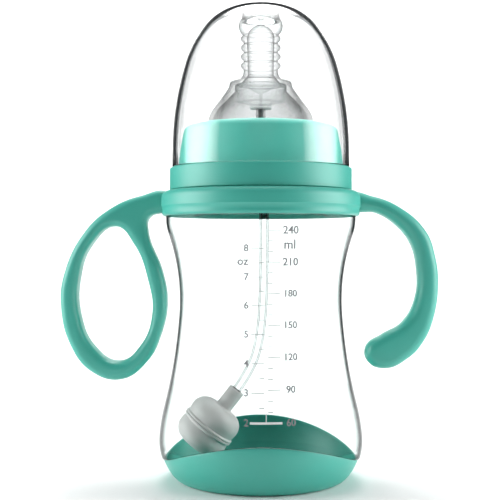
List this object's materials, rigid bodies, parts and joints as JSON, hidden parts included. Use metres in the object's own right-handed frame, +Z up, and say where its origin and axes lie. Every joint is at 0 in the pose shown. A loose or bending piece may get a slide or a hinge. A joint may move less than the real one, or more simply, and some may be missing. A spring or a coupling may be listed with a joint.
{
  "type": "baby bottle",
  "caption": "Clear wide-neck feeding bottle with two-sided handles, ribbed teat, screw collar, domed travel cap, base cup and a weighted straw.",
  "frame": {"origin": "middle of the flat face that the base cup stands on", "axes": "+Z up the bottle's axis towards the teat; -X towards the closed loop handle; +X towards the open hook handle"},
  "size_m": [0.1363, 0.0732, 0.1714],
  "materials": {
    "clear_body": "clear moulded plastic, gloss",
    "mint_plastic": "opaque mint moulding, satin gloss",
    "clear_silicone": "clear soft silicone, smooth",
    "clear_connector": "clear moulded plastic, gloss",
    "grey_plastic": "light grey moulding, matt",
    "core_steel": "turned stainless steel",
    "clear_cap": "clear moulded plastic, gloss"
  },
  "bodies": {
    "bottle": {"bottle_body": "clear_body", "base_cup": "mint_plastic"},
    "handles": {"handle_frame": "mint_plastic"},
    "teat_set": {"teat": "clear_silicone", "straw_connector": "clear_connector"},
    "collar": {"collar": "mint_plastic"},
    "cap": {"dust_cap": "clear_cap"},
    "straw_set": {"straw": "clear_silicone", "weight_upper_shell": "grey_plastic", "weight_lower_shell": "grey_plastic", "weight_core": "core_steel"}
  },
  "joints": [
    {"name": "handle_turn", "type": "hinge", "parent": "bottle", "child": "handles", "pos_m": [0, 0, 0.0996], "axis": [0, 0, 1], "continuous": true},
    {"name": "teat_lift", "type": "slide", "parent": "bottle", "child": "teat_set", "axis": [0, 0, 1], "range_m": [0, 0.0076]},
    {"name": "collar_turn", "type": "hinge", "parent": "teat_set", "child": "collar", "pos_m": [0, 0, 0.115], "axis": [0, 0, 1], "range_deg": [0, 540]},
    {"name": "cap_lift", "type": "slide", "parent": "collar", "child": "cap", "axis": [0, 0, 1], "range_m": [0, 0.06]},
    {"name": "straw_swing", "type": "hinge", "parent": "teat_set", "child": "straw_set", "pos_m": [0, 0, 0.13], "axis": [0, 0, 1], "continuous": true}
  ],
  "couplings": [
    {"joint": "teat_lift", "follows": "collar_turn", "m_per_rad": 0.00079577}
  ]
}
